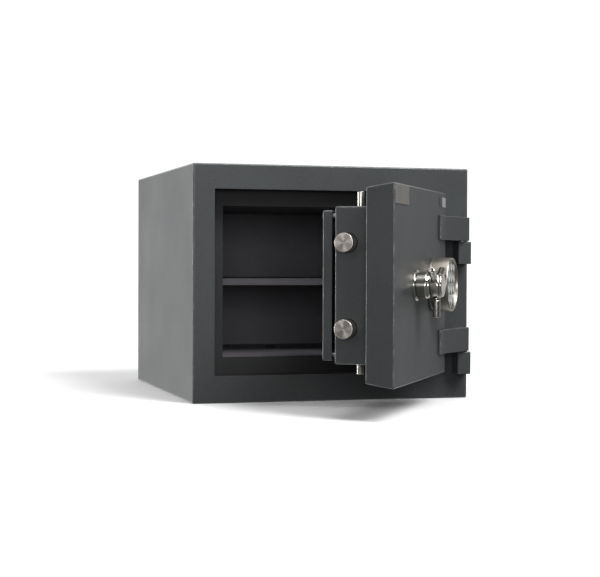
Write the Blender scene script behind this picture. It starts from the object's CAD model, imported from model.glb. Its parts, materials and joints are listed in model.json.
import json
import math

import bmesh
import bpy
from mathutils import Matrix, Vector

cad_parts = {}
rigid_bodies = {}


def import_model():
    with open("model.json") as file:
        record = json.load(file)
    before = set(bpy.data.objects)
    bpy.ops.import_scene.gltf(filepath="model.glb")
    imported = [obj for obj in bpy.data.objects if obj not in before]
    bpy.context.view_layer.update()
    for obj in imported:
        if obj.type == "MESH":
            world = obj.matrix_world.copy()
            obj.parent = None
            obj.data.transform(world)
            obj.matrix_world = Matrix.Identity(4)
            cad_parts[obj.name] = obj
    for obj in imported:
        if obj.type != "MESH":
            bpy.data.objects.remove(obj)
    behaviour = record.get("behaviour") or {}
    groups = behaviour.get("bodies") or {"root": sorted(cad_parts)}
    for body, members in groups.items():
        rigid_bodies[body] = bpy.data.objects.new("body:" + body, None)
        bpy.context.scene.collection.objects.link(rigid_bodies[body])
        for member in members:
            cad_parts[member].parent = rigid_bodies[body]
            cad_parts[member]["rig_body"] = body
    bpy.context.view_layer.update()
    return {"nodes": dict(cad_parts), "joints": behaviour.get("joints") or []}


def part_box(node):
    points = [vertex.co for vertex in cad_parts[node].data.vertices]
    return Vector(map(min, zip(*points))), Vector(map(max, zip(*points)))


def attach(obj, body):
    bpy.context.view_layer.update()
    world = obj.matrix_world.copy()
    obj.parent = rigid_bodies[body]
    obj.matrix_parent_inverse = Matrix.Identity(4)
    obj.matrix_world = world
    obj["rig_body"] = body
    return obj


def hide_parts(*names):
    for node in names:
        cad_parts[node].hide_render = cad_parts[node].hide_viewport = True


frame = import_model()

MM = 0.001
UP = Vector((0, 0, 1))
joints = {j["name"]: j for j in frame["joints"]}


# ---------- camera ----------
def add_camera():
    """The photograph's view: from the left of the safe, a little above half its height."""
    yaw, pitch, roll = 0.286013, -0.0177717, 0.0036619
    level = Vector((math.sin(yaw), math.cos(yaw), 0))
    side = Vector((math.cos(yaw), -math.sin(yaw), 0))
    ahead = level * math.cos(pitch) + UP * math.sin(pitch)
    above = UP * math.cos(pitch) - level * math.sin(pitch)
    right = side * math.cos(roll) + above * math.sin(roll)
    top = above * math.cos(roll) - side * math.sin(roll)
    data = bpy.data.cameras.new("camera")
    data.sensor_width, data.lens = 36, 87.495
    camera = bpy.data.objects.new("camera", data)
    camera.matrix_world = Matrix((right, top, -ahead)).transposed().to_4x4()
    camera.location = (-0.80275, -2.78668, 0.25006)
    bpy.context.scene.collection.objects.link(camera)
    bpy.context.scene.camera = camera


add_camera()

# ---------- the two frames that the pieces are measured in, in millimetres ----------
# The cabinet is measured from the body's front left bottom corner. The door is measured from
# its free edge, its face and the base: x along its width, y into the safe, z up.
HANDLE_X, KEYPAD_X, CONTROLS_Z = 150, 278, 213
ACROSS = Vector(joints["side_bolts_slide"]["axis"])
INWARD = Vector(joints["handle_turn"]["axis"])
CORNER = Vector(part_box("outer_shell")[0])
DOOR_CORNER = Vector(joints["handle_turn"]["pos_m"]) - ACROSS * HANDLE_X * MM - UP * CONTROLS_Z * MM


def placed(x_axis, y_axis, z_axis, origin):
    matrix = Matrix((x_axis, y_axis, z_axis)).transposed().to_4x4()
    matrix.translation = origin
    return matrix


CABINET = placed((1, 0, 0), (0, 1, 0), UP, CORNER)
DOOR = placed(ACROSS, INWARD, UP, DOOR_CORNER)


def in_cabinet(x, y, z):
    """The cabinet's frame, moved to a place in it."""
    return CABINET @ Matrix.Translation(Vector((x, y, z)) * MM)


def door_point(x, y, z):
    return DOOR @ (Vector((x, y, z)) * MM)


def on_face(x, z, out):
    """A frame before the door's face, whose Z axis points out of it and whose Y axis points up."""
    return placed(ACROSS, UP, -INWARD, door_point(x, -out, z))


# Sizes of the body. A rectangle is (x0, x1, z0, z1), and GAP parts two pieces that touch on the real safe.
GAP = 0.3
BODY = (521, 547, 425)
SKIN = 3
REBATE = (40, 427, 49, 380)
LIP = (66.5, 401, 78, 351.5)
REBATE_DEPTH, LIP_BACK, LINER_BACK, LINER_SHEET = 50, 65, 467, 2.5
SHUT_DOOR_LEFT = 44
ANCHOR, ANCHOR_RADIUS = (233, 330), 8

# Hinges
HINGE_BOTTOMS = {"lower": 46, "upper": 248.5}
BLOCK_HEIGHT, WASHER_SPACE, LEAF_HEIGHT = 41, 1.7, 43
PIN, PIN_RADIUS = (504, -14), 6

# Door: slab, bolt case and back cover
SLAB = (0, 380, 53.5, 375.5)
THICKNESS, DRAFT, PAN = 48, 7, 5
SPINDLE_HOLE, CABLE_HOLE = 7, 5
CASE = (37, 353, 88, 340)
CASE_BACK, CASE_SHEET, FLANGE = 107, 4, 20
COVER = (45, 345, 93, 334)
COVER_FRONT, COVER_BACK, COVER_SHEET = 114, 130, 3
SCREW_SHOULDER, SCREW_HEAD = 19.4, 23

# Bolts and rods, with the radii of their holes in the liner and their clearance in the case
SIDE_BOLT_HEIGHTS = {"lower": 145, "upper": 282}
SIDE_BOLT_DEPTH, SIDE_BOLT_RADIUS, SIDE_BOLT_LENGTH, SIDE_BOLT_TAIL = 85.5, 15.5, 48, 60
ROD_X, ROD_DEPTH, ROD_RADIUS = 102, 82, 5.75
ROD_ENDS = {"top": (250, 366), "bottom": (68, 176)}
PEG_HEIGHTS, PEG_RADIUS, PEG_LENGTH = {"top": 262, "bottom": 164}, 4, 24
LINER_SIDE_HOLE, LINER_ROD_HOLE, CASE_CLEARANCE = 16.7, 7.5, 0.7

# Handle and keypad: how far out of the door's face their pieces start, and their main sizes
HUB_OUT, CAP_OUT, SPOKE_OUT = 4.4, 41.9, 34
SPOKE_RADIUS, SPOKE_START, SPOKE_LENGTH, SPOKE_ANGLES = 6.2, 20.9, 31.1, (-90, 30, 150)
KEYPAD_RADIUS, KEYPAD_PROUD, FACE_OUT = 46.5, 35, 31
KEY_RADIUS, KEY_LIFT, WELL_RADIUS, WELL_DEPTH = 7, 2.2, 7.6, 7
KEY_COLUMNS, KEY_ROWS, KEY_ACROSS, KEY_DOWN = 3, 4, 19.5, 19
LEGENDS = "123456789*0#"
LEGEND_SIZE, LEGEND_THICKNESS, LEGEND_HEIGHT = 8.5, 0.25, 6.3


# ---------- materials ----------
class Shader:
    """A Principled material with helpers for the nodes that vary it."""

    def __init__(self, name, **sockets):
        self.material = bpy.data.materials.new(name)
        self.material.use_nodes = True
        self.tree = self.material.node_tree
        self.bsdf = self.tree.nodes["Principled BSDF"]
        for socket, value in sockets.items():
            self.bsdf.inputs[socket.replace("_", " ")].default_value = value
        self.coords = self.tree.nodes.new("ShaderNodeTexCoord").outputs["Object"]

    def add(self, kind, settings=None, **inputs):
        node = self.tree.nodes.new(kind)
        for key, value in (settings or {}).items():
            setattr(node, key, value)
        for key, value in inputs.items():
            self.set(node.inputs[key.replace("_", " ")], value)
        return node

    def set(self, socket, value):
        if isinstance(value, bpy.types.NodeSocket):
            self.tree.links.new(value, socket)
        else:
            socket.default_value = value

    def noise(self, scale, detail=3.0, stretch=None, roughness=0.55):
        where = self.coords
        if stretch:
            where = self.add("ShaderNodeMapping", Vector=where, Scale=stretch).outputs["Vector"]
        node = self.add(
            "ShaderNodeTexNoise", Vector=where, Scale=scale, Detail=detail, Roughness=roughness
        )
        return node.outputs["Fac"]

    def spread(self, value, low, high, from_low=0.3, from_high=0.7):
        node = self.add("ShaderNodeMapRange", Value=value)
        for socket, number in zip(node.inputs[1:5], (from_low, from_high, low, high)):
            socket.default_value = number
        return node.outputs["Result"]

    def blend(self, factor, first, second):
        node = self.add("ShaderNodeMix", {"data_type": "RGBA"})
        for index, value in ((0, factor), (6, first), (7, second)):
            self.set(node.inputs[index], value)
        return node.outputs[2]

    def total(self, first, second, weight):
        scaled = self.add("ShaderNodeMath", {"operation": "MULTIPLY"})
        self.set(scaled.inputs[0], second)
        scaled.inputs[1].default_value = weight
        added = self.add("ShaderNodeMath", {"operation": "ADD"})
        self.set(added.inputs[0], first)
        self.set(added.inputs[1], scaled.outputs[0])
        return added.outputs[0]

    def finish(self, color=None, roughness=None, height=None, depth=0.0002, strength=0.5):
        for name, value in (("Base Color", color), ("Roughness", roughness)):
            if value is not None:
                self.set(self.bsdf.inputs[name], value)
        if height is not None:
            bump = self.add("ShaderNodeBump", Height=height, Distance=depth, Strength=strength)
            self.tree.links.new(bump.outputs["Normal"], self.bsdf.inputs["Normal"])
        return self.material


def rgb(red, green, blue):
    return (red, green, blue, 1.0)


def shaded(color, factor):
    return rgb(*[c * factor for c in color[:3]])


def powder_coat(name, dark, light, rough, grain=620, worn=None, specular=0.5):
    """A coat with orange-peel grain and a slow drift of tone, rubbed in places if `worn` is given."""
    s = Shader(name, Specular_IOR_Level=specular)
    drift = s.noise(7, detail=4)
    speckle = s.noise(grain, detail=2, roughness=0.7)
    tone = s.blend(s.spread(drift, 0, 1), dark, light)
    tone = s.blend(s.spread(speckle, 0, 0.26, 0.52, 0.72), tone, shaded(light, 2.2))
    tone = s.blend(s.spread(speckle, 0.45, 0, 0.28, 0.46), tone, shaded(dark, 0.45))
    roughness = s.total(s.spread(drift, rough - 0.05, rough + 0.04), speckle, weight=0.08)
    if worn:
        rubbed = s.spread(s.noise(95, detail=5, roughness=0.7), 0.15, 0.95, 0.42, 0.62)
        tone = s.blend(rubbed, tone, worn)
        roughness = s.spread(rubbed, rough, rough - 0.16, 0, 1)
    height = s.total(speckle, s.noise(grain * 2.4, detail=2), weight=0.5)
    return s.finish(tone, roughness, height, depth=0.0004, strength=0.6)


def cast_stone():
    s = Shader("cast_barrier")
    grit = s.add("ShaderNodeTexVoronoi", Vector=s.coords, Scale=160.0).outputs["Distance"]
    tone = s.blend(s.spread(grit, 0, 1, 0.1, 0.6), rgb(0.24, 0.22, 0.2), rgb(0.42, 0.4, 0.36))
    height = s.total(grit, s.noise(400), weight=0.5)
    return s.finish(tone, s.spread(s.noise(60), 0.85, 0.98), height, depth=0.001, strength=0.7)


def turned_steel(name, color, rough, stretch, anisotropic=0.75):
    """Metal with the fine rings or lines that a lathe leaves about the piece's own Z axis."""
    s = Shader(name, Metallic=1.0, Anisotropic=anisotropic)
    tangent = s.add("ShaderNodeTangent", {"direction_type": "RADIAL", "axis": "Z"})
    s.tree.links.new(tangent.outputs["Tangent"], s.bsdf.inputs["Tangent"])
    lines = s.noise(900, detail=2, stretch=stretch)
    tone = s.blend(s.spread(s.noise(55), 0, 1), shaded(color, 0.82), rgb(*color))
    tone = s.blend(s.spread(lines, 0, 0.25), tone, shaded(color, 0.6))
    roughness = s.spread(s.noise(140), rough - 0.05, rough + 0.07)
    return s.finish(tone, roughness, lines, depth=0.00004, strength=0.4)


def ring_turned(name, color, rough):
    """A faced end: rings round the local Z axis, so that highlights fan out from its centre."""
    s = Shader(name, Metallic=1.0, Anisotropic=0.85)
    tangent = s.add("ShaderNodeTangent", {"direction_type": "RADIAL", "axis": "Z"})
    s.tree.links.new(tangent.outputs["Tangent"], s.bsdf.inputs["Tangent"])
    flat = s.add("ShaderNodeVectorMath", {"operation": "MULTIPLY"})
    s.set(flat.inputs[0], s.coords)
    flat.inputs[1].default_value = (1, 1, 0)
    away = s.add("ShaderNodeVectorMath", {"operation": "LENGTH"})
    s.set(away.inputs[0], flat.outputs["Vector"])
    rings = s.add("ShaderNodeTexNoise", {"noise_dimensions": "1D"}, Scale=5200.0, Detail=2.0)
    s.set(rings.inputs["W"], away.outputs["Value"])
    tone = s.blend(s.spread(rings.outputs["Fac"], 0, 0.5), rgb(*color), shaded(color, 0.62))
    roughness = s.spread(s.noise(120), rough - 0.04, rough + 0.06)
    return s.finish(tone, roughness, rings.outputs["Fac"], depth=0.00003, strength=0.5)


def polished(name, color, rough):
    """Plated metal with faint smudges that dull it in places."""
    s = Shader(name, Metallic=1.0)
    smudge = s.noise(45, detail=5)
    tone = s.blend(s.spread(smudge, 0, 1), shaded(color, 0.9), rgb(*color))
    roughness = s.spread(smudge, rough, rough + 0.09, 0.45, 0.8)
    return s.finish(tone, roughness, s.noise(300, detail=2), depth=0.00002, strength=0.25)


def satin(name, color, rough, stretch, lines=700):
    """Brushed or blasted metal, its lines running along the axis that `stretch` makes small."""
    s = Shader(name, Metallic=1.0)
    grain = s.noise(lines, stretch=stretch)
    tone = s.blend(s.spread(grain, 0, 1), shaded(color, 0.72), rgb(*color))
    roughness = s.total(s.spread(s.noise(40), rough - 0.05, rough + 0.06), grain, weight=0.08)
    return s.finish(tone, roughness, grain, depth=0.00005, strength=0.5)


def zinc_plate():
    s = Shader("zinc_plate", Metallic=1.0)
    spangle = s.add("ShaderNodeTexVoronoi", Vector=s.coords, Scale=70.0).outputs["Color"]
    shade = s.add("ShaderNodeSeparateColor", Color=spangle).outputs["Red"]
    tone = s.blend(shade, rgb(0.32, 0.33, 0.34), rgb(0.46, 0.46, 0.47))
    return s.finish(tone, s.spread(s.noise(120), 0.38, 0.55), s.noise(500), depth=0.00006, strength=0.4)


def moulded(name, dark, light, rough, grain=2200, depth=0.00006):
    """Plastic, rubber or print, with a fine moulded grain."""
    s = Shader(name, Specular_IOR_Level=0.5)
    tone = s.blend(s.spread(s.noise(90, detail=4), 0, 1), dark, light)
    roughness = s.spread(s.noise(160), rough - 0.05, rough + 0.08)
    return s.finish(tone, roughness, s.noise(grain), depth, strength=0.5)


PAINT_DARK, PAINT_LIGHT = rgb(0.0315, 0.0352, 0.0368), rgb(0.0405, 0.045, 0.047)
PAINT_WORN = rgb(0.12, 0.128, 0.131)
paint = powder_coat("charcoal_coat", PAINT_DARK, PAINT_LIGHT, 0.44)
paint_edge = powder_coat("charcoal_coat_edge", PAINT_DARK, PAINT_LIGHT, 0.34, worn=PAINT_WORN)
INNER_DARK, INNER_LIGHT = rgb(0.102, 0.096, 0.11), rgb(0.132, 0.124, 0.142)
INNER_WORN = rgb(0.15, 0.145, 0.155)
inner = powder_coat("inner_coat", INNER_DARK, INNER_LIGHT, 0.5, grain=800)
inner_edge = powder_coat("inner_coat_edge", INNER_DARK, INNER_LIGHT, 0.45, grain=800, worn=INNER_WORN)
FRAME_DARK, FRAME_LIGHT = rgb(0.012, 0.0125, 0.0128), rgb(0.017, 0.0175, 0.018)
FRAME_WORN = rgb(0.04, 0.042, 0.043)
frame_coat = powder_coat("doorway_coat", FRAME_DARK, FRAME_LIGHT, 0.55, specular=0.35)
frame_edge = powder_coat(
    "doorway_coat_edge", FRAME_DARK, FRAME_LIGHT, 0.5, worn=FRAME_WORN, specular=0.35
)
stone = cast_stone()
STEEL = (0.66, 0.61, 0.56)
bolt_side = turned_steel("bolt_steel", STEEL, 0.3, (1, 1, 14))
bolt_end = ring_turned("bolt_steel_faced", STEEL, 0.33)
rod_steel = turned_steel("rod_steel", (0.6, 0.58, 0.54), 0.28, (1, 1, 10), anisotropic=0.55)
chrome = polished("handle_chrome", (0.66, 0.635, 0.585), 0.11)
chrome_faced = ring_turned("handle_chrome_faced", (0.74, 0.71, 0.67), 0.2)
nickel = satin("keypad_nickel", (0.46, 0.425, 0.375), 0.3, (1, 1, 10))
keypad_face = moulded("keypad_face", rgb(0.17, 0.175, 0.17), rgb(0.22, 0.225, 0.22), 0.2, 900, 0.00003)
key_plastic = moulded("key_plastic", rgb(0.26, 0.265, 0.255), rgb(0.33, 0.335, 0.325), 0.24)
key_print = moulded("key_print", rgb(0.7, 0.7, 0.68), rgb(0.8, 0.8, 0.78), 0.4)
zinc = zinc_plate()
badge = satin("badge_metal", (0.33, 0.318, 0.295), 0.42, (0.05, 0.05, 1), 900)
label_dark = moulded("label_dark", rgb(0.02, 0.02, 0.02), rgb(0.03, 0.03, 0.03), 0.45)
label_light = satin("label_foil", (0.72, 0.72, 0.72), 0.4, (1, 1, 0.2))
rubber = moulded("plug_rubber", rgb(0.015, 0.015, 0.016), rgb(0.028, 0.028, 0.029), 0.75, 1500, 0.0002)

PAINTED = (paint, paint_edge)
INSIDE = (inner, inner_edge)


# ---------- shapes, all in millimetres until they are placed ----------
def loft(rings, closed=False):
    """Rectangles (x0, x1, z0, z1, y) joined in turn. The ends are capped, or joined if it is closed."""
    bm = bmesh.new()
    loops = [
        [bm.verts.new(p) for p in ((x0, y, z0), (x1, y, z0), (x1, y, z1), (x0, y, z1))]
        for x0, x1, z0, z1, y in rings
    ]
    pairs = list(zip(loops, loops[1:]))
    if closed:
        pairs.append((loops[-1], loops[0]))
    else:
        bm.faces.new(loops[0])
        bm.faces.new(loops[-1])
    for a, b in pairs:
        for i in range(4):
            j = (i + 1) % 4
            bm.faces.new((a[i], a[j], b[j], b[i]))
    bmesh.ops.recalc_face_normals(bm, faces=bm.faces)
    return bm


def grown(rect, margin):
    x0, x1, z0, z1 = rect
    return (x0 - margin, x1 + margin, z0 - margin, z1 + margin)


def circle(bm, radius, height, segments):
    turn = 2 * math.pi / segments
    return [
        bm.verts.new((radius * math.cos(i * turn), radius * math.sin(i * turn), height))
        for i in range(segments)
    ]


def turned(profile, segments=64, materials=None):
    """A solid of (radius, height) points about Z, from the axis back to the axis.

    `materials` holds one index for each step of the profile.
    """
    bm = bmesh.new()
    rows = []
    for radius, height in profile:
        if radius < 1e-6:
            rows.append([bm.verts.new((0, 0, height))])
        else:
            rows.append(circle(bm, radius, height, segments))
    for step, (a, b) in enumerate(zip(rows, rows[1:])):
        for i in range(segments):
            j = (i + 1) % segments
            if len(a) == 1:
                corners = (a[0], b[i], b[j])
            elif len(b) == 1:
                corners = (a[i], b[0], a[j])
            else:
                corners = (a[i], b[i], b[j], a[j])
            bm.faces.new(corners).material_index = materials[step] if materials else 0
    bmesh.ops.recalc_face_normals(bm, faces=bm.faces)
    return bm


def ring_of(profile, segments):
    """A turned solid with a hole through it: the profile's ends are joined down the bore."""
    bm = bmesh.new()
    rows = [circle(bm, radius, height, segments) for radius, height in profile]
    for a, b in zip(rows, rows[1:] + rows[:1]):
        for i in range(segments):
            j = (i + 1) % segments
            bm.faces.new((a[i], b[i], b[j], a[j]))
    bmesh.ops.recalc_face_normals(bm, faces=bm.faces)
    return bm


def eased(profile, radius, steps=3):
    """The profile with the points between its ends rounded off; a third number is a point's own radius."""
    out = [tuple(profile[0][:2])]
    for before, here, after in zip(profile, profile[1:], profile[2:]):
        p = Vector(here[:2])
        r = here[2] if len(here) > 2 else radius
        to_before, to_after = Vector(before[:2]) - p, Vector(after[:2]) - p
        r = min(r, to_before.length * 0.45, to_after.length * 0.45)
        if r < 0.02:
            out.append(tuple(p))
            continue
        a, b = p + to_before.normalized() * r, p + to_after.normalized() * r
        for i in range(steps + 1):
            t = i / steps
            out.append(tuple(a * (1 - t) ** 2 + p * 2 * t * (1 - t) + b * t * t))
    out.append(tuple(profile[-1][:2]))
    return out


def round_edges(bm, radius, where=None, segments=4, material=1, least=30):
    """Rounds the sharp edges whose middle passes `where`; the new faces get the material's index."""
    limit = math.radians(least)
    chosen = [
        e for e in bm.edges
        if len(e.link_faces) == 2 and e.calc_face_angle(0) > limit
        and (where is None or where((e.verts[0].co + e.verts[1].co) / 2))
    ]
    bmesh.ops.bevel(
        bm, geom=chosen, offset=radius, offset_type="OFFSET", segments=segments, profile=0.5,
        affect="EDGES", clamp_overlap=False, material=material,
    )


def to_mesh(bm, name):
    mesh = bpy.data.meshes.new(name)
    bm.to_mesh(mesh)
    bm.free()
    return mesh


def carved(bm, *tools):
    """The solid with tool solids cut out of it."""
    scene = bpy.context.scene.collection.objects
    target = bpy.data.objects.new("target", to_mesh(bm, "target"))
    scene.link(target)
    cutters = []
    for tool in tools:
        cutter = bpy.data.objects.new("cutter", to_mesh(tool, "cutter"))
        scene.link(cutter)
        cutters.append(cutter)
        modifier = target.modifiers.new("cut", "BOOLEAN")
        modifier.operation, modifier.solver, modifier.object = "DIFFERENCE", "EXACT", cutter
    graph = bpy.context.evaluated_depsgraph_get()
    out = bmesh.new()
    out.from_mesh(target.evaluated_get(graph).to_mesh())
    for obj in (target, *cutters):
        mesh = obj.data
        bpy.data.objects.remove(obj)
        bpy.data.meshes.remove(mesh)
    return out


def moved(bm, matrix):
    bm.transform(matrix)
    return bm


def drill(radius, start, end, segments=48):
    """A plain cylinder for carving, between the centres of its ends."""
    start, end = Vector(start), Vector(end)
    axis = end - start
    bm = turned([(0, 0), (radius, 0), (radius, axis.length), (0, axis.length)], segments)
    return moved(bm, Matrix.Translation(start) @ axis.to_track_quat("Z", "Y").to_matrix().to_4x4())


def add_piece(name, bm, materials, body, nodes=(), space=None, own_frame=None, smooth=32):
    """Makes the piece from its millimetre shape: in the row frame, or in a frame of its own."""
    bm.transform(Matrix.Scale(MM, 4))
    if space is not None:
        bm.transform(space)
    mesh = to_mesh(bm, name)
    mesh.shade_smooth()
    mesh.set_sharp_from_angle(angle=math.radians(smooth))
    for m in materials:
        mesh.materials.append(m)
    obj = bpy.data.objects.new(name, mesh)
    bpy.context.scene.collection.objects.link(obj)
    if own_frame is not None:
        obj.matrix_world = own_frame
    normals = obj.modifiers.new("normals", "WEIGHTED_NORMAL")
    normals.keep_sharp = True
    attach(obj, body)
    if nodes:
        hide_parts(*nodes)


def dressed(node, materials, edge=0.5, segments=3):
    """A piece with the CAD node's own shape, its sharp edges rounded."""
    source = frame["nodes"][node]
    bm = bmesh.new()
    bm.from_mesh(source.data)
    bm.transform(Matrix.Scale(1 / MM, 4))
    bmesh.ops.remove_doubles(bm, verts=bm.verts, dist=0.003)
    bmesh.ops.dissolve_limit(bm, angle_limit=math.radians(0.5), verts=bm.verts, edges=bm.edges)
    for face in bm.faces:
        face.material_index = 0
    round_edges(bm, edge, segments=segments)
    add_piece(f"{node}_finished", bm, materials, source["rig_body"], [node])


def coat(material, *nodes):
    """A CAD node whose shape is right keeps it and gets the finished material."""
    for node in nodes:
        mesh = frame["nodes"][node].data
        mesh.materials.clear()
        mesh.materials.append(material)


# ---------- the cabinet ----------
def anchor_drill(low, high):
    return drill(ANCHOR_RADIUS, (*ANCHOR, low), (*ANCHOR, high))


def add_cabinet():
    width, depth, height = BODY
    outer = (0, width, 0, height)
    shell = loft([
        (*outer, depth), (*outer, 0), (*REBATE, 0), (*REBATE, REBATE_DEPTH), (*LIP, REBATE_DEPTH),
        (*LIP, LIP_BACK), (*grown(REBATE, SKIN), LIP_BACK), (*grown(REBATE, SKIN), SKIN),
        (*grown(outer, -SKIN), SKIN), (*grown(outer, -SKIN), depth - SKIN),
    ])

    def outside(p):
        return min(p.x, width - p.x, depth - p.y, p.z, height - p.z) < 0.1

    def doorway(p):
        return not outside(p) and (p.y < 0.1 or abs(p.y - REBATE_DEPTH) < 0.1)

    def in_doorway(p):
        within = REBATE[0] - 1 < p.x < REBATE[1] + 1 and REBATE[2] - 1 < p.z < REBATE[3] + 1
        return within and 1.5 < p.y < LIP_BACK + 1

    round_edges(shell, 2.9, outside)
    round_edges(shell, 0.9, doorway, segments=2, material=0)
    shell = carved(shell, anchor_drill(-1, SKIN + 1))
    for face in shell.faces:
        if in_doorway(face.calc_center_median()):
            face.material_index += len(PAINTED)
    add_piece("cabinet_shell", shell, (*PAINTED, frame_coat, frame_edge), "cabinet",
              ["outer_shell", "door_frame"], space=CABINET)


def add_interior():
    around = grown(LIP, LINER_SHEET)
    front = LIP_BACK + GAP
    tray = loft([(*around, LINER_BACK), (*around, front), (*LIP, front), (*LIP, LINER_BACK - LINER_SHEET)])
    side_holes = [
        drill(LINER_SIDE_HOLE, (LIP[0] - 6, SIDE_BOLT_DEPTH, z), (LIP[0] + 2, SIDE_BOLT_DEPTH, z))
        for z in SIDE_BOLT_HEIGHTS.values()
    ]
    rod_x = SHUT_DOOR_LEFT + ROD_X
    rod_holes = [
        drill(LINER_ROD_HOLE, (rod_x, ROD_DEPTH, z - 4), (rod_x, ROD_DEPTH, z + 4)) for z in LIP[2:]
    ]
    tray = carved(tray, *side_holes, *rod_holes, anchor_drill(LIP[2] - 5, LIP[2] + 2))
    add_piece("liner_tray", tray, INSIDE, "cabinet", ["inner_liner"], space=CABINET)

    dressed("shelf", INSIDE, 0.9)
    for side in ("left", "right"):
        dressed(f"shelf_rail_{side}", INSIDE, 0.3)
    coat(stone, "barrier_fill", "door_fill")
    coat(zinc, "bolt_keeper_upper", "bolt_keeper_lower", "rod_keeper_top", "rod_keeper_bottom")
    plug = eased([
        (0, -16), (6.8, -16), (7.6, -14), (7.6, 0), (13, 0, 0.1), (13, 1.6),
        (11.4, 3, 1.2), (3, 3, 1), (2, 2.2, 0.4), (0, 2.2),
    ], 0.5)
    add_piece("floor_plug", turned(plug, 48), [rubber], "cabinet", ["anchor_plug"],
              own_frame=in_cabinet(*ANCHOR, LIP[2] + GAP))


def add_hinges():
    foot, short_of_top, dimple = 5.3, 1, 0.8
    length = BLOCK_HEIGHT + WASHER_SPACE + LEAF_HEIGHT - short_of_top - foot
    pin = eased([
        (0, 0), (PIN_RADIUS, 0), (PIN_RADIUS, length), (3.2, length, 0.4),
        (2.6, length - dimple, 0.3), (0, length - dimple),
    ], 0.8)
    for side, bottom in HINGE_BOTTOMS.items():
        dressed(f"hinge_block_{side}", PAINTED, 1.1)
        dressed(f"hinge_leaf_{side}", PAINTED, 0.9)
        dressed(f"thrust_washer_{side}", [zinc, zinc], 0.15)
        add_piece(f"hinge_pin_{side}_turned", turned(pin, 48), [rod_steel], "cabinet",
                  [f"hinge_pin_{side}"], own_frame=in_cabinet(*PIN, bottom + foot))


# ---------- the door ----------
def slab_ring(margin, depth):
    """The outline of the tapered slab at a depth, made smaller by a margin."""
    return (*grown(SLAB, -margin - DRAFT * depth / THICKNESS), depth)


def border_gap(p, rect):
    """How far inside a rectangle a point is."""
    return min(p.x - rect[0], rect[1] - p.x, p.z - rect[2], rect[3] - p.z)


def add_slab():
    pan = loft([slab_ring(PAN, PAN), slab_ring(PAN, THICKNESS), slab_ring(0, THICKNESS), slab_ring(0, 0)])

    def outside(p):
        return border_gap(p, grown(SLAB, -DRAFT * p.y / THICKNESS)) < 0.2

    round_edges(pan, 2.2, outside, segments=5)
    holes = [
        drill(radius, (x, -1, CONTROLS_Z), (x, 20, CONTROLS_Z))
        for radius, x in ((SPINDLE_HOLE, HANDLE_X), (CABLE_HOLE, KEYPAD_X))
    ]
    add_piece("door_slab", carved(pan, *holes), PAINTED, "door", ["door_pan"], space=DOOR)
    dressed("door_back_plate", PAINTED, 0.35)


def add_case():
    front = THICKNESS + GAP
    window = grown(CASE, -FLANGE)
    inside = grown(CASE, -CASE_SHEET)
    case = loft([
        (*CASE, front), (*CASE, CASE_BACK), (*window, CASE_BACK), (*window, CASE_BACK - CASE_SHEET),
        (*inside, CASE_BACK - CASE_SHEET), (*inside, front),
    ], closed=True)

    def outer_corner(p):
        return border_gap(p, CASE) < 0.1 and p.y > front + 0.1

    def window_edge(p):
        return abs(p.y - CASE_BACK) < 0.1 and border_gap(p, grown(window, 1)) > 0

    round_edges(case, 3, outer_corner, segments=5)
    round_edges(case, 0.8, window_edge, segments=2, least=60)
    side_hole, rod_hole = SIDE_BOLT_RADIUS + CASE_CLEARANCE, ROD_RADIUS + CASE_CLEARANCE
    holes = [
        drill(side_hole, (CASE[0] - 1, SIDE_BOLT_DEPTH, z), (CASE[0] + 6, SIDE_BOLT_DEPTH, z), 72)
        for z in SIDE_BOLT_HEIGHTS.values()
    ]
    holes += [drill(rod_hole, (ROD_X, ROD_DEPTH, z - 6), (ROD_X, ROD_DEPTH, z + 6)) for z in CASE[2:]]
    add_piece("boltwork_case", carved(case, *holes), PAINTED, "door", ["bolt_case"], space=DOOR)


def add_cover():
    inside = grown(COVER, -COVER_SHEET)
    cover = loft([
        (*inside, COVER_BACK - COVER_SHEET), (*inside, COVER_FRONT),
        (*COVER, COVER_FRONT), (*COVER, COVER_BACK),
    ])

    def cover_corner(p):
        return border_gap(p, COVER) < 0.1 and p.y > COVER_FRONT + 0.1

    round_edges(cover, 2.6, cover_corner, segments=5)
    left, right = CASE[0] + FLANGE - 3, CASE[1] - FLANGE + 3
    bottom, top = CASE[2] + 15, CASE[3] - 15
    places = [(left, bottom), (right, bottom), (left, top), (right, top)]
    holes = [drill(3, (x, COVER_FRONT - 1, z), (x, COVER_BACK + 1, z), 32) for x, z in places]
    add_piece("cover_tray", carved(cover, *holes), PAINTED, "door", ["back_cover"], space=DOOR)
    for i, (x, z) in enumerate(places):
        add_standoff(i + 1, x, z)


def add_standoff(number, x, z):
    """A shouldered screw with a hexagon socket, seen on the back cover."""
    head = SCREW_HEAD
    body = turned(eased([
        (0, 0), (4, 0), (4, SCREW_SHOULDER), (2.6, SCREW_SHOULDER), (2.6, head), (5, head),
        (4.8, head + 0.5), (4.2, head + 0.9), (0, head + 0.9),
    ], 0.25), 40)
    socket = turned([(0, head - 1.5), (1.7, head - 1.5), (1.7, head + 2), (0, head + 2)], 6)
    add_piece(f"cover_screw_{number}", carved(body, socket), [zinc], "door", [f"cover_standoff_{number}"],
              own_frame=placed(ACROSS, -UP, INWARD, door_point(x, CASE_BACK + GAP, z)))


def face_plate(name, low, high, thickness, material, nodes=(), edge=0.3):
    """A thin plate lying just off the door's face, between two (x, z) corners."""
    outline = (low[0], high[0], low[1], high[1])
    plate = loft([(*outline, -GAP), (*outline, -GAP - thickness)])
    round_edges(plate, edge, segments=2, material=0)
    add_piece(name, plate, [material], "door", nodes, DOOR)


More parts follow.
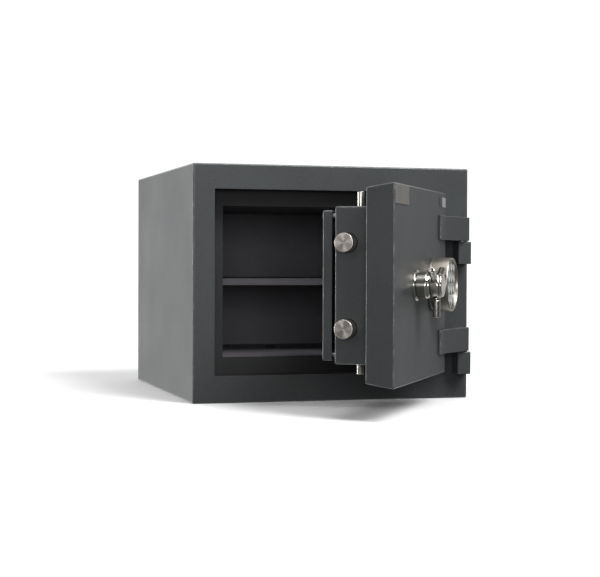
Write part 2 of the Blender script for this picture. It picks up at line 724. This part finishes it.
def add_face_plates():
    face_plate("makers_plate_blank", (2.5, 343), (91, 373), 1.2, badge, ["badge_plate"])
    for shade, material, left, right in (("dark", label_dark, 325, 347.6), ("light", label_light, 348, 376)):
        face_plate(f"corner_label_{shade}", (left, 349.5), (right, 366.5), 0.4, material,
                   edge=0.12)


# ---------- the bolts ----------
def add_bolts():
    profile = eased([
        (0, 0), (SIDE_BOLT_RADIUS, 0), (SIDE_BOLT_RADIUS, SIDE_BOLT_LENGTH, 1.4),
        (1.3, SIDE_BOLT_LENGTH, 0.2), (0, SIDE_BOLT_LENGTH - 0.9),
    ], 0.5, 4)
    steps = len(profile) - 1
    centre_mark = [1 if i >= steps - 5 else 0 for i in range(steps)]
    for side, z in SIDE_BOLT_HEIGHTS.items():
        matrix = placed(INWARD, -UP, -ACROSS, door_point(SIDE_BOLT_TAIL, SIDE_BOLT_DEPTH, z))
        add_piece(f"side_bolt_{side}_turned", turned(profile, 96, centre_mark), [bolt_side, bolt_end],
                  "carriage", [f"side_bolt_{side}"], own_frame=matrix, smooth=40)


def add_rods():
    peg = eased([(0, 0), (PEG_RADIUS, 0), (PEG_RADIUS, PEG_LENGTH), (0, PEG_LENGTH)], 0.5)
    for side, (low, high) in ROD_ENDS.items():
        length = high - low
        shaft = turned(eased([(0, 0), (ROD_RADIUS, 0), (ROD_RADIUS, length), (0, length)], 0.9, 4), 64)
        matrix = placed((1, 0, 0), (0, 1, 0), UP, door_point(ROD_X, ROD_DEPTH, low))
        add_piece(f"{side}_rod_turned", shaft, [rod_steel], f"{side}_bolt", [f"{side}_rod"], own_frame=matrix)
        add_piece(f"{side}_rod_follower", turned(peg, 40), [zinc], f"{side}_bolt",
                  own_frame=on_face(ROD_X, PEG_HEIGHTS[side], -ROD_DEPTH))


def coat_mechanism():
    coat(zinc, "carriage_plate", "spindle", "drive_cam", "hardplate", "lock_body")
    coat(rod_steel, "lock_bolt")


# ---------- handle and keypad ----------
def add_handle():
    rose = eased([(7, 0), (26, 0), (26, 1.6, 0.7), (24.4, 3.1, 0.8), (22.9, 3.6), (7, 3.6)], 0.2)
    add_piece("handle_rose_turned", ring_of(rose, 96), [chrome], "door", ["handle_rose"],
              own_frame=on_face(HANDLE_X, CONTROLS_Z, GAP))
    barrel = eased([
        (6.3, 0), (22, 0), (22, 15, 1.4), (19.5, 19.3, 1.6), (19.5, 22), (20.6, 23.6),
        (20.6, 35.2, 1), (19, 37.2), (14, 37.2), (14, 34), (6.3, 34),
    ], 0.6)
    add_piece("handle_hub_turned", ring_of(barrel, 96), [chrome], "handle", ["handle_hub"],
              own_frame=on_face(HANDLE_X, CONTROLS_Z, HUB_OUT))
    cap = eased([(0, 0), (18.5, 0), (18.5, 2.6, 1), (16.6, 3.8, 0.8), (15.4, 3.6, 0.4), (0, 4.3)], 0.3, 4)
    faced = [1 if i >= len(cap) - 3 else 0 for i in range(len(cap) - 1)]
    add_piece("handle_cap_turned", turned(cap, 96, faced), [chrome, chrome_faced], "handle", ["handle_cap"],
              own_frame=on_face(HANDLE_X, CONTROLS_Z, CAP_OUT))
    for i, degrees in enumerate(SPOKE_ANGLES):
        add_spoke(i + 1, math.radians(degrees))


def add_spoke(number, angle):
    way = ACROSS * math.cos(angle) + UP * math.sin(angle)
    start = door_point(HANDLE_X, -SPOKE_OUT, CONTROLS_Z) + way * SPOKE_START * MM
    groove = SPOKE_RADIUS - 0.5
    spoke = eased([
        (0, 0), (SPOKE_RADIUS, 0), (SPOKE_RADIUS, 1.6, 0.3), (groove, 2.3, 0.3), (groove, 3.1, 0.3),
        (SPOKE_RADIUS, 3.8, 0.4), (SPOKE_RADIUS, SPOKE_LENGTH, 1.8), (1.2, SPOKE_LENGTH, 0.3),
        (0, SPOKE_LENGTH - 0.5),
    ], 0.4, 4)
    add_piece(f"handle_spoke_{number}_turned", turned(spoke, 64), [chrome], "handle",
              [f"handle_spoke_{number}"], own_frame=placed(-INWARD, way.cross(-INWARD), way, start))


def key_places():
    """The keys' places about the keypad's centre, from the top left one, row by row."""
    for row in range(KEY_ROWS):
        for column in range(KEY_COLUMNS):
            yield (column - (KEY_COLUMNS - 1) / 2) * KEY_ACROSS, ((KEY_ROWS - 1) / 2 - row) * KEY_DOWN


def add_keypad():
    top, floor = KEYPAD_PROUD - GAP, FACE_OUT - GAP
    wide = KEYPAD_RADIUS
    groove = wide - 0.6
    profile = eased([
        (0, 0), (wide, 0), (wide, 3, 0.4), (groove, 3.6, 0.3), (groove, 4.6, 0.3), (wide, 5.2, 0.4),
        (wide, top - 2, 1.2), (45, top, 0.9), (43.4, top, 0.5), (42.2, floor, 0.3), (39.5, floor), (0, floor),
    ], 0.5)
    steps = len(profile) - 1
    faced = [1 if profile[i][1] < floor + 0.1 and i > steps - 5 else 0 for i in range(steps)]
    housing = turned(profile, 128, faced)
    wells = [drill(WELL_RADIUS, (x, y, floor - WELL_DEPTH), (x, y, floor + 5), 40) for x, y in key_places()]
    add_piece("keypad_housing_turned", carved(housing, *wells), [nickel, keypad_face], "door",
              ["keypad_housing"], own_frame=on_face(KEYPAD_X, CONTROLS_Z, GAP))
    key = eased([(0, 0), (KEY_RADIUS, 0), (KEY_RADIUS, 6.2, 1.1), (5.2, 6.5, 0.6), (0, 6.15)], 0.3, 4)
    for i, (x, y) in enumerate(key_places()):
        cap = turned(key, 40)
        add_legend(cap, LEGENDS[i])
        place = on_face(KEYPAD_X + x, CONTROLS_Z + y, FACE_OUT - WELL_DEPTH + KEY_LIFT)
        add_piece(f"key_{i + 1}_moulded", cap, [key_plastic, key_print], f"key_{i + 1}", [f"key_{i + 1}"],
                  own_frame=place)


def add_legend(cap, character):
    """Prints a raised character on top of a key's shape, with the second material."""
    legend = bpy.data.curves.new("legend", "FONT")
    legend.body, legend.size, legend.extrude = character, LEGEND_SIZE, LEGEND_THICKNESS
    legend.align_x, legend.align_y = "CENTER", "CENTER"
    text = bpy.data.objects.new("legend", legend)
    bpy.context.scene.collection.objects.link(text)
    graph = bpy.context.evaluated_depsgraph_get()
    printed = bmesh.new()
    printed.from_mesh(text.evaluated_get(graph).to_mesh())
    bpy.data.objects.remove(text)
    bmesh.ops.remove_doubles(printed, verts=printed.verts, dist=1e-4)
    for face in printed.faces:
        face.material_index = 1
    moved(printed, Matrix.Translation((0, 0, LEGEND_HEIGHT)))
    letters = to_mesh(printed, "letters")
    cap.from_mesh(letters)
    bpy.data.meshes.remove(letters)


# ---------- floor and light ----------
def add_floor():
    bm = bmesh.new()
    bmesh.ops.create_grid(bm, x_segments=8, y_segments=8, size=14)
    mesh = to_mesh(bm, "floor")
    s = Shader("pale_floor", Roughness=0.9, Specular_IOR_Level=0.1)
    tone = s.blend(s.spread(s.noise(3), 0, 1), rgb(0.9, 0.9, 0.9), rgb(0.92, 0.92, 0.92))
    mesh.materials.append(s.finish(tone))
    floor = bpy.data.objects.new("floor", mesh)
    floor.visible_diffuse = floor.visible_glossy = False
    bpy.context.scene.collection.objects.link(floor)


def add_lamp(data, toward, location=(0, 0, 0)):
    """Puts a light into the scene, shining along `toward`."""
    lamp = bpy.data.objects.new(data.name, data)
    lamp.location = location
    lamp.rotation_mode = "QUATERNION"
    lamp.rotation_quaternion = Vector(toward).to_track_quat("-Z", "Y")
    bpy.context.scene.collection.objects.link(lamp)


def add_area(name, location, target, size, energy):
    data = bpy.data.lights.new(name, "AREA")
    data.shape, data.size, data.size_y, data.energy = "RECTANGLE", *size, energy
    add_lamp(data, Vector(target) - Vector(location), location)


def add_sun(name, toward, spread, strength):
    data = bpy.data.lights.new(name, "SUN")
    data.angle, data.energy = math.radians(spread), strength
    add_lamp(data, toward)


def add_world():
    """A pale studio: bright behind the safe, dim in front, to the right and high up; white to the camera."""
    world = bpy.data.worlds.new("studio")
    world.use_nodes = True
    tree = world.node_tree
    way = tree.nodes.new("ShaderNodeSeparateXYZ")
    tree.links.new(tree.nodes.new("ShaderNodeTexCoord").outputs["Generated"], way.inputs["Vector"])
    soft = tree.nodes["Background"]
    soft.inputs["Color"].default_value = (1, 1, 1, 1)
    level = None
    for axis, numbers in (
        ("Y", (-0.15, 0.75, 0.17, 1.35)), ("X", (-0.1, 0.8, 1.0, 0.42)), ("Z", (0.3, 0.85, 1.0, 0.35)),
    ):
        ramp = tree.nodes.new("ShaderNodeMapRange")
        ramp.interpolation_type = "SMOOTHSTEP"
        tree.links.new(way.outputs[axis], ramp.inputs["Value"])
        for socket, number in zip(ramp.inputs[1:5], numbers):
            socket.default_value = number
        if level is None:
            level = ramp.outputs["Result"]
            continue
        product = tree.nodes.new("ShaderNodeMath")
        product.operation = "MULTIPLY"
        tree.links.new(level, product.inputs[0])
        tree.links.new(ramp.outputs["Result"], product.inputs[1])
        level = product.outputs["Value"]
    tree.links.new(level, soft.inputs["Strength"])
    white = tree.nodes.new("ShaderNodeBackground")
    white.inputs["Color"].default_value = (1, 1, 1, 1)
    white.inputs["Strength"].default_value = 1.1
    rays = tree.nodes.new("ShaderNodeLightPath")
    mix = tree.nodes.new("ShaderNodeMixShader")
    tree.links.new(rays.outputs["Is Camera Ray"], mix.inputs["Fac"])
    tree.links.new(soft.outputs["Background"], mix.inputs[1])
    tree.links.new(white.outputs["Background"], mix.inputs[2])
    tree.links.new(mix.outputs["Shader"], tree.nodes["World Output"].inputs["Surface"])
    bpy.context.scene.world = world


def add_light():
    add_world()
    add_sun("overhead", (0.02, -0.05, -1.0), 45, 1.1)
    add_sun("from_the_right", (-0.45, 0.75, -1.0), 24, 2.2)
    add_area("front_box", (-0.6, -2.6, 0.5), (0.0, -0.27, 0.22), (0.9, 0.6), 14)
    add_area("upper_box", (0.5, -1.1, 1.5), (0.1, -0.27, 0.25), (0.7, 0.5), 8)
    add_area("left_box", (-1.65, -1.75, 0.95), (-0.05, -0.45, 0.25), (0.5, 0.5), 3.5)
    add_area("left_strip", (-1.86, 0.48, 0.35), (-0.26, -0.27, 0.21), (0.2, 1.3), 19)
    add_area("right_box", (1.15, -1.55, 1.05), (0.2, -0.27, 0.3), (0.5, 0.5), 6)
    bpy.context.scene.view_settings.view_transform = "Standard"


add_cabinet()
add_interior()
add_hinges()
add_slab()
add_case()
add_cover()
add_face_plates()
add_bolts()
add_rods()
coat_mechanism()
add_handle()
add_keypad()
add_floor()
add_light()
